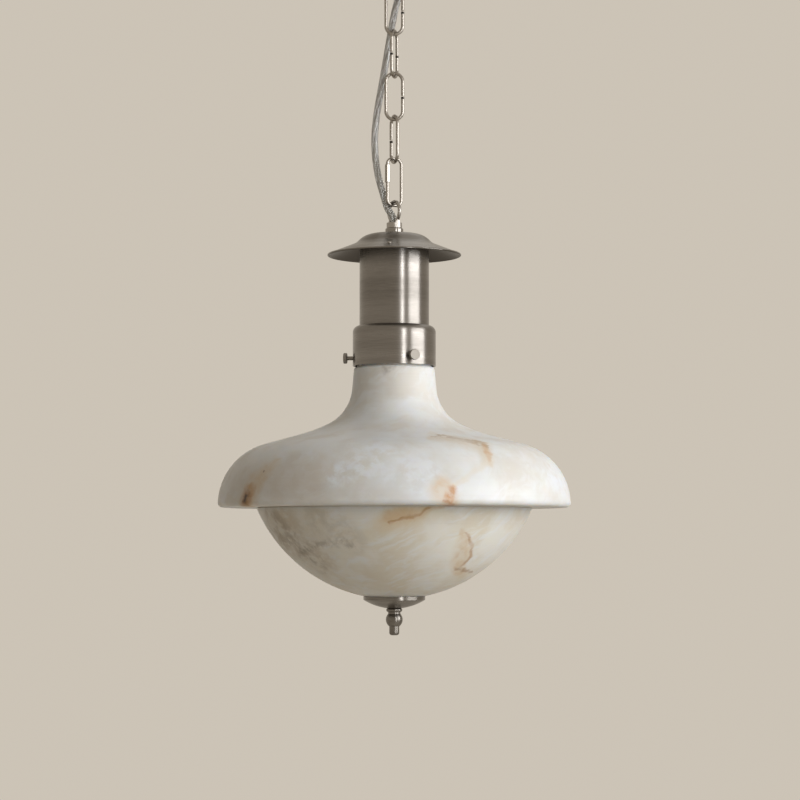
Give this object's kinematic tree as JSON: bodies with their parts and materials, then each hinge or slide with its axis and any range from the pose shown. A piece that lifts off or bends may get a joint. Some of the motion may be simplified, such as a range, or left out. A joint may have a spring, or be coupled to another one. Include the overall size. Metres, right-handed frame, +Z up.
{
  "type": "pendant light",
  "caption": "Alabaster pendant light with a bowl under a broad shade, hung by a chain and flex from a ceiling rose",
  "frame": {"origin": "on the ceiling, midway between the two screw holes of the ceiling strap, on the light's axis", "axes": "+Z up to the ceiling, +X to the right of the view in the picture, +Y away from the viewer"},
  "size_m": [0.3499, 0.3498, 0.6988],
  "materials": {
    "brushed_nickel": "satin, turned grain",
    "alabaster": "satin, veined, translucent",
    "clear_flex": "clear sheath over braid",
    "white_nylon": "moulded",
    "zinc_steel": "zinc plated",
    "felt": "pressed",
    "rubber": "moulded",
    "brass": "turned",
    "lead_sleeving": "extruded",
    "black_thermoset": "moulded",
    "lamp_cap": "rolled",
    "frosted_glass": "frosted"
  },
  "bodies": {
    "ceiling": {"ceiling_strap": "zinc_steel", "ceiling_nipple": "zinc_steel", "ceiling_nuts": "zinc_steel", "ceiling_rose": "brushed_nickel", "cord_grip": "white_nylon", "terminal_block": "white_nylon", "ceiling_loop": "brushed_nickel", "supply_cord": "clear_flex"},
    "link_1": {"chain_link_1": "brushed_nickel"},
    "link_2": {"chain_link_2": "brushed_nickel"},
    "link_3": {"chain_link_3": "brushed_nickel"},
    "link_4": {"chain_link_4": "brushed_nickel"},
    "quick_link": {"quick_link": "brushed_nickel"},
    "sleeve": {"quick_link_sleeve": "brushed_nickel"},
    "pendant": {"pendant_bush": "white_nylon", "hanging_loop": "brushed_nickel", "loop_collar": "brushed_nickel", "neck_cap": "brushed_nickel", "cap_screw": "brushed_nickel", "neck_tube": "brushed_nickel", "gallery": "brushed_nickel", "stem": "zinc_steel", "stem_nuts": "zinc_steel", "upper_shade": "alabaster", "lamp_hub": "brass", "lamp_leads": "lead_sleeving", "lampholder_1": "black_thermoset", "lampholder_2": "black_thermoset", "lampholder_3": "black_thermoset", "finial_rod": "zinc_steel"},
    "thumbscrew_1": {"thumbscrew_1": "brushed_nickel"},
    "thumbscrew_2": {"thumbscrew_2": "brushed_nickel"},
    "thumbscrew_3": {"thumbscrew_3": "brushed_nickel"},
    "bulb_1": {"bulb_cap_1": "lamp_cap", "bulb_globe_1": "frosted_glass"},
    "bulb_2": {"bulb_cap_2": "lamp_cap", "bulb_globe_2": "frosted_glass"},
    "bulb_3": {"bulb_cap_3": "lamp_cap", "bulb_globe_3": "frosted_glass"},
    "bowl": {"bowl": "alabaster", "rim_felt": "felt", "bowl_bush": "white_nylon", "finial_cup": "brushed_nickel", "finial_ring": "rubber"},
    "finial": {"finial": "brushed_nickel"}
  },
  "joints": [
    {"name": "link_1_swing", "type": "hinge", "parent": "ceiling", "child": "link_1", "pos_m": [0, 0, -0.0548], "axis": [0, 1, 0], "range_deg": [-30, 30], "deforming": ["supply_cord"]},
    {"name": "link_2_swing", "type": "hinge", "parent": "link_1", "child": "link_2", "pos_m": [0, 0, -0.0977], "axis": [1, 0, 0], "range_deg": [-30, 30], "deforming": ["supply_cord"]},
    {"name": "link_3_swing", "type": "hinge", "parent": "link_2", "child": "link_3", "pos_m": [0, 0, -0.1408], "axis": [0.3256, 0.9455, 0], "range_deg": [-30, 30], "deforming": ["supply_cord"]},
    {"name": "link_4_swing", "type": "hinge", "parent": "link_3", "child": "link_4", "pos_m": [0, 0, -0.1839], "axis": [1, 0, 0], "range_deg": [-30, 30], "deforming": ["supply_cord"]},
    {"name": "quick_link_swing", "type": "hinge", "parent": "link_4", "child": "quick_link", "pos_m": [0, 0, -0.227], "axis": [-0.3746, 0.9272, 0], "range_deg": [-30, 30], "deforming": ["supply_cord"]},
    {"name": "pendant_swing", "type": "hinge", "parent": "quick_link", "child": "pendant", "pos_m": [0, 0, -0.2704], "axis": [0.866, 0.5, 0], "range_deg": [-30, 30], "deforming": ["supply_cord"]},
    {"name": "sleeve_unscrew", "type": "slide", "parent": "quick_link", "child": "sleeve", "axis": [0, 0, -1], "range_m": [0, 0.014]},
    {"name": "thumbscrew_1_loosen", "type": "slide", "parent": "pendant", "child": "thumbscrew_1", "axis": [0.4067, -0.9135, 0], "range_m": [0, 0.0035]},
    {"name": "thumbscrew_2_loosen", "type": "slide", "parent": "pendant", "child": "thumbscrew_2", "axis": [0.5878, 0.809, 0], "range_m": [0, 0.0035]},
    {"name": "thumbscrew_3_loosen", "type": "slide", "parent": "pendant", "child": "thumbscrew_3", "axis": [-0.9945, 0.1045, 0], "range_m": [0, 0.0035]},
    {"name": "bulb_1_unscrew", "type": "slide", "parent": "pendant", "child": "bulb_1", "axis": [0.6124, 0.3536, -0.7071], "range_m": [0, 0.02]},
    {"name": "bulb_2_unscrew", "type": "slide", "parent": "pendant", "child": "bulb_2", "axis": [-0.6124, 0.3536, -0.7071], "range_m": [0, 0.02]},
    {"name": "bulb_3_unscrew", "type": "slide", "parent": "pendant", "child": "bulb_3", "axis": [0, -0.7071, -0.7071], "range_m": [0, 0.02]},
    {"name": "bowl_lower", "type": "slide", "parent": "pendant", "child": "bowl", "axis": [0, 0, -1], "range_m": [0, 0.12]},
    {"name": "finial_turn", "type": "hinge", "parent": "bowl", "child": "finial", "pos_m": [0, 0, -0.67182], "axis": [0, 0, 1], "continuous": true}
  ]
}
